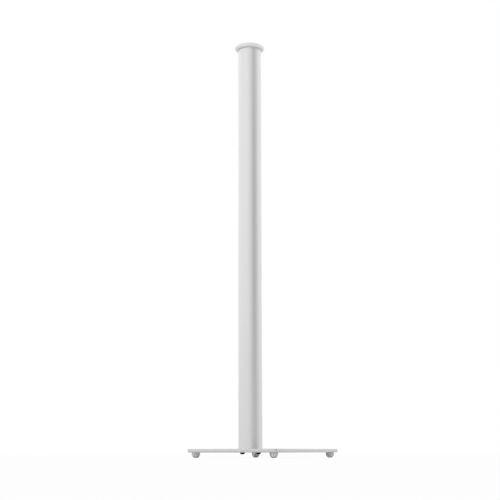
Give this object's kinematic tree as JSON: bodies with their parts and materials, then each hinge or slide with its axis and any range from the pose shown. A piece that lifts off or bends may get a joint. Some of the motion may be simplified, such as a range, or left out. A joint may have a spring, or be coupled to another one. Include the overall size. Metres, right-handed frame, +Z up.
{
  "type": "speaker stand",
  "caption": "Tall floor stand for a small loudspeaker: a round aluminium column with a rounded top cap on a thick rectangular base plate with domed levelling feet.",
  "frame": {"origin": "on the floor, under the middle of the base plate", "axes": "+Z up along the column, -Y towards the front of the stand, +X to the right when seen from the front"},
  "size_m": [0.29, 0.235, 1],
  "materials": {
    "satin_anodised_aluminium": "fine satin brushed and silver anodised",
    "silver_powder_coat": "fine-textured silver powder coat on steel plate",
    "black_oxide_steel": "black-oxide hex socket screws and washers",
    "clear_polyurethane": "clear moulded polyurethane, slightly hazy",
    "black_rubber": "matt moulded black rubber",
    "zinc_plated_steel": "bright zinc plated thread"
  },
  "bodies": {
    "stand": {"column": "satin_anodised_aluminium", "base_plate": "silver_powder_coat", "base_grommet": "black_rubber", "base_screw_front": "black_oxide_steel", "base_screw_rear": "black_oxide_steel", "base_washer_front": "black_oxide_steel", "base_washer_rear": "black_oxide_steel", "top_cap": "satin_anodised_aluminium", "cap_grommet": "black_rubber", "cap_screw_front": "black_oxide_steel", "cap_screw_rear": "black_oxide_steel", "top_pad": "black_rubber"},
    "levelling_foot_front_left": {"foot_front_left": "clear_polyurethane", "foot_stud_front_left": "zinc_plated_steel"},
    "levelling_foot_front_right": {"foot_front_right": "clear_polyurethane", "foot_stud_front_right": "zinc_plated_steel"},
    "levelling_foot_rear_left": {"foot_rear_left": "clear_polyurethane", "foot_stud_rear_left": "zinc_plated_steel"},
    "levelling_foot_rear_right": {"foot_rear_right": "clear_polyurethane", "foot_stud_rear_right": "zinc_plated_steel"}
  },
  "joints": [
    {"name": "level_front_left", "type": "slide", "parent": "stand", "child": "levelling_foot_front_left", "axis": [0, 0, -1], "range_m": [0, 0.003]},
    {"name": "level_front_right", "type": "slide", "parent": "stand", "child": "levelling_foot_front_right", "axis": [0, 0, -1], "range_m": [0, 0.003]},
    {"name": "level_rear_left", "type": "slide", "parent": "stand", "child": "levelling_foot_rear_left", "axis": [0, 0, -1], "range_m": [0, 0.003]},
    {"name": "level_rear_right", "type": "slide", "parent": "stand", "child": "levelling_foot_rear_right", "axis": [0, 0, -1], "range_m": [0, 0.003]}
  ]
}
